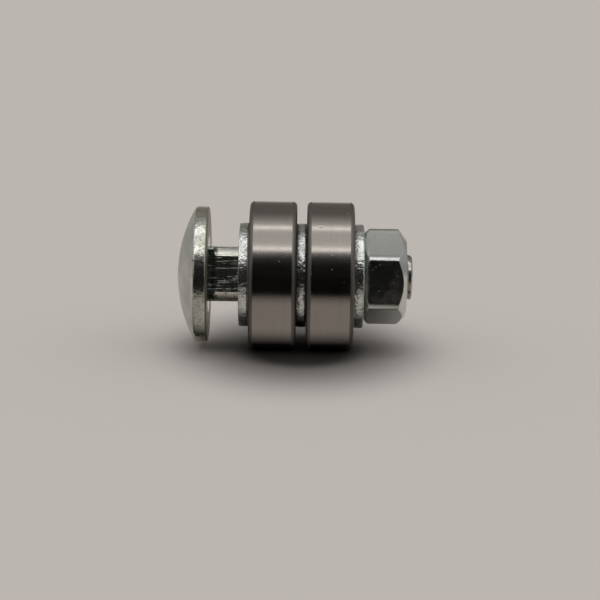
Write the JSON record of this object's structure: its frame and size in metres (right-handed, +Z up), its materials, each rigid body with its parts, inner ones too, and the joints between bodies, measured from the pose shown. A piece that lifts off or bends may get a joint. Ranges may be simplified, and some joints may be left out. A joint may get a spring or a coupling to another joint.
{
  "type": "bandsaw roller guide",
  "caption": "Blade guide roller: shielded ball bearings side by side on a square-necked carriage bolt, spaced by plain washers and clamped by a hexagon nut, so each outer ring spins freely.",
  "frame": {"origin": "on the bolt axis, at the flat underside of the bolt head, where the bracket plate seats", "axes": "+X along the bolt from the head towards the nut, +Z up with the rollers lying on a level surface"},
  "size_m": [0.0349, 0.022, 0.022],
  "materials": {
    "bolt_zinc": "bright zinc plate with a slight yellow-green tint, satin dome",
    "washer_zinc": "bright zinc plate over a stamped edge",
    "nut_zinc": "satin zinc plate",
    "bearing_steel": "ground bearing steel, fine lines round the rim",
    "shield_steel": "cold-rolled sheet",
    "cage_steel": "pressed sheet",
    "ball_steel": "polished bearing steel"
  },
  "bodies": {
    "bolt_assembly": {"carriage_bolt": "bolt_zinc", "head_washer": "washer_zinc", "middle_washer": "washer_zinc", "nut_washer": "washer_zinc", "hex_nut": "nut_zinc", "head_bearing_inner_ring": "bearing_steel", "nut_bearing_inner_ring": "bearing_steel"},
    "head_bearing_roller": {"head_bearing_outer_ring": "bearing_steel", "head_bearing_shield_1": "shield_steel", "head_bearing_shield_2": "shield_steel"},
    "head_bearing_cage": {"head_bearing_cage_half_1": "cage_steel", "head_bearing_cage_half_2": "cage_steel", "head_bearing_cage_rivets": "cage_steel"},
    "head_bearing_ball_1": {"head_bearing_ball_1": "ball_steel"},
    "head_bearing_ball_2": {"head_bearing_ball_2": "ball_steel"},
    "head_bearing_ball_3": {"head_bearing_ball_3": "ball_steel"},
    "head_bearing_ball_4": {"head_bearing_ball_4": "ball_steel"},
    "head_bearing_ball_5": {"head_bearing_ball_5": "ball_steel"},
    "head_bearing_ball_6": {"head_bearing_ball_6": "ball_steel"},
    "head_bearing_ball_7": {"head_bearing_ball_7": "ball_steel"},
    "nut_bearing_roller": {"nut_bearing_outer_ring": "bearing_steel", "nut_bearing_shield_1": "shield_steel", "nut_bearing_shield_2": "shield_steel"},
    "nut_bearing_cage": {"nut_bearing_cage_half_1": "cage_steel", "nut_bearing_cage_half_2": "cage_steel", "nut_bearing_cage_rivets": "cage_steel"},
    "nut_bearing_ball_1": {"nut_bearing_ball_1": "ball_steel"},
    "nut_bearing_ball_2": {"nut_bearing_ball_2": "ball_steel"},
    "nut_bearing_ball_3": {"nut_bearing_ball_3": "ball_steel"},
    "nut_bearing_ball_4": {"nut_bearing_ball_4": "ball_steel"},
    "nut_bearing_ball_5": {"nut_bearing_ball_5": "ball_steel"},
    "nut_bearing_ball_6": {"nut_bearing_ball_6": "ball_steel"},
    "nut_bearing_ball_7": {"nut_bearing_ball_7": "ball_steel"}
  },
  "joints": [
    {"name": "head_bearing_spin", "type": "hinge", "parent": "bolt_assembly", "child": "head_bearing_roller", "pos_m": [0.0096, 0, 0], "axis": [1, 0, 0], "continuous": true},
    {"name": "head_bearing_cage_spin", "type": "hinge", "parent": "bolt_assembly", "child": "head_bearing_cage", "pos_m": [0.0096, 0, 0], "axis": [1, 0, 0], "continuous": true},
    {"name": "head_bearing_ball_1_spin", "type": "hinge", "parent": "head_bearing_cage", "child": "head_bearing_ball_1", "pos_m": [0.0096, 0, 0.0075], "axis": [1, 0, 0], "continuous": true},
    {"name": "head_bearing_ball_2_spin", "type": "hinge", "parent": "head_bearing_cage", "child": "head_bearing_ball_2", "pos_m": [0.0096, 0.00586, 0.00468], "axis": [1, 0, 0], "continuous": true},
    {"name": "head_bearing_ball_3_spin", "type": "hinge", "parent": "head_bearing_cage", "child": "head_bearing_ball_3", "pos_m": [0.0096, 0.00731, -0.00167], "axis": [1, 0, 0], "continuous": true},
    {"name": "head_bearing_ball_4_spin", "type": "hinge", "parent": "head_bearing_cage", "child": "head_bearing_ball_4", "pos_m": [0.0096, 0.00325, -0.00676], "axis": [1, 0, 0], "continuous": true},
    {"name": "head_bearing_ball_5_spin", "type": "hinge", "parent": "head_bearing_cage", "child": "head_bearing_ball_5", "pos_m": [0.0096, -0.00325, -0.00676], "axis": [1, 0, 0], "continuous": true},
    {"name": "head_bearing_ball_6_spin", "type": "hinge", "parent": "head_bearing_cage", "child": "head_bearing_ball_6", "pos_m": [0.0096, -0.00731, -0.00167], "axis": [1, 0, 0], "continuous": true},
    {"name": "head_bearing_ball_7_spin", "type": "hinge", "parent": "head_bearing_cage", "child": "head_bearing_ball_7", "pos_m": [0.0096, -0.00586, 0.00468], "axis": [1, 0, 0], "continuous": true},
    {"name": "nut_bearing_spin", "type": "hinge", "parent": "bolt_assembly", "child": "nut_bearing_roller", "pos_m": [0.0181, 0, 0], "axis": [1, 0, 0], "continuous": true},
    {"name": "nut_bearing_cage_spin", "type": "hinge", "parent": "bolt_assembly", "child": "nut_bearing_cage", "pos_m": [0.0181, 0, 0], "axis": [1, 0, 0], "continuous": true},
    {"name": "nut_bearing_ball_1_spin", "type": "hinge", "parent": "nut_bearing_cage", "child": "nut_bearing_ball_1", "pos_m": [0.0181, 0, 0.0075], "axis": [1, 0, 0], "continuous": true},
    {"name": "nut_bearing_ball_2_spin", "type": "hinge", "parent": "nut_bearing_cage", "child": "nut_bearing_ball_2", "pos_m": [0.0181, 0.00586, 0.00468], "axis": [1, 0, 0], "continuous": true},
    {"name": "nut_bearing_ball_3_spin", "type": "hinge", "parent": "nut_bearing_cage", "child": "nut_bearing_ball_3", "pos_m": [0.0181, 0.00731, -0.00167], "axis": [1, 0, 0], "continuous": true},
    {"name": "nut_bearing_ball_4_spin", "type": "hinge", "parent": "nut_bearing_cage", "child": "nut_bearing_ball_4", "pos_m": [0.0181, 0.00325, -0.00676], "axis": [1, 0, 0], "continuous": true},
    {"name": "nut_bearing_ball_5_spin", "type": "hinge", "parent": "nut_bearing_cage", "child": "nut_bearing_ball_5", "pos_m": [0.0181, -0.00325, -0.00676], "axis": [1, 0, 0], "continuous": true},
    {"name": "nut_bearing_ball_6_spin", "type": "hinge", "parent": "nut_bearing_cage", "child": "nut_bearing_ball_6", "pos_m": [0.0181, -0.00731, -0.00167], "axis": [1, 0, 0], "continuous": true},
    {"name": "nut_bearing_ball_7_spin", "type": "hinge", "parent": "nut_bearing_cage", "child": "nut_bearing_ball_7", "pos_m": [0.0181, -0.00586, 0.00468], "axis": [1, 0, 0], "continuous": true}
  ],
  "couplings": [
    {"joint": "head_bearing_cage_spin", "follows": "head_bearing_spin", "ratio": 0.6323},
    {"joint": "head_bearing_ball_1_spin", "follows": "head_bearing_spin", "ratio": 1.7573},
    {"joint": "head_bearing_ball_2_spin", "follows": "head_bearing_spin", "ratio": 1.7573},
    {"joint": "head_bearing_ball_3_spin", "follows": "head_bearing_spin", "ratio": 1.7573},
    {"joint": "head_bearing_ball_4_spin", "follows": "head_bearing_spin", "ratio": 1.7573},
    {"joint": "head_bearing_ball_5_spin", "follows": "head_bearing_spin", "ratio": 1.7573},
    {"joint": "head_bearing_ball_6_spin", "follows": "head_bearing_spin", "ratio": 1.7573},
    {"joint": "head_bearing_ball_7_spin", "follows": "head_bearing_spin", "ratio": 1.7573},
    {"joint": "nut_bearing_cage_spin", "follows": "nut_bearing_spin", "ratio": 0.6323},
    {"joint": "nut_bearing_ball_1_spin", "follows": "nut_bearing_spin", "ratio": 1.7573},
    {"joint": "nut_bearing_ball_2_spin", "follows": "nut_bearing_spin", "ratio": 1.7573},
    {"joint": "nut_bearing_ball_3_spin", "follows": "nut_bearing_spin", "ratio": 1.7573},
    {"joint": "nut_bearing_ball_4_spin", "follows": "nut_bearing_spin", "ratio": 1.7573},
    {"joint": "nut_bearing_ball_5_spin", "follows": "nut_bearing_spin", "ratio": 1.7573},
    {"joint": "nut_bearing_ball_6_spin", "follows": "nut_bearing_spin", "ratio": 1.7573},
    {"joint": "nut_bearing_ball_7_spin", "follows": "nut_bearing_spin", "ratio": 1.7573}
  ]
}
